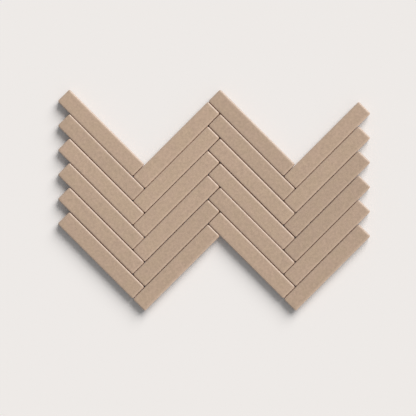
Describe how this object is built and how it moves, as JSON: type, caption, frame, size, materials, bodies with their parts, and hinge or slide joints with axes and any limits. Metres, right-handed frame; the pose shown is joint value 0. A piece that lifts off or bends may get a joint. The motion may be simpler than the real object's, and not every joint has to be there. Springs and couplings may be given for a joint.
{
  "type": "herringbone mosaic tile sheet",
  "caption": "Mosaic sheet of narrow matt ceramic bars laid in a herringbone on a backing net, with stepped edges that interlock with the next sheet, for facing walls and floors.",
  "frame": {"origin": "centre of the sheet's bounding box, on the underside of the backing net", "axes": "+Z out of the face of the bars, +X across the columns, along the sheet's longest side, and +Y up the columns"},
  "size_m": [0.2972, 0.2102, 0.0084],
  "materials": {
    "bar_ceramic": "matt, warm beige",
    "net_glass_fibre": "coated woven yarn, off-white"
  },
  "bodies": {
    "root": {"bar_column_1_row_1": "bar_ceramic", "bar_column_1_row_2": "bar_ceramic", "bar_column_1_row_3": "bar_ceramic", "bar_column_1_row_4": "bar_ceramic", "bar_column_1_row_5": "bar_ceramic", "bar_column_1_row_6": "bar_ceramic", "bar_column_2_row_1": "bar_ceramic", "bar_column_2_row_2": "bar_ceramic", "bar_column_2_row_3": "bar_ceramic", "bar_column_2_row_4": "bar_ceramic", "bar_column_2_row_5": "bar_ceramic", "bar_column_2_row_6": "bar_ceramic", "bar_column_3_row_1": "bar_ceramic", "bar_column_3_row_2": "bar_ceramic", "bar_column_3_row_3": "bar_ceramic", "bar_column_3_row_4": "bar_ceramic", "bar_column_3_row_5": "bar_ceramic", "bar_column_3_row_6": "bar_ceramic", "bar_column_4_row_1": "bar_ceramic", "bar_column_4_row_2": "bar_ceramic", "bar_column_4_row_3": "bar_ceramic", "bar_column_4_row_4": "bar_ceramic", "bar_column_4_row_5": "bar_ceramic", "bar_column_4_row_6": "bar_ceramic", "backing_net_column_1": "net_glass_fibre", "backing_net_column_2": "net_glass_fibre", "backing_net_column_3": "net_glass_fibre", "backing_net_column_4": "net_glass_fibre"}
  },
  "joints": []
}
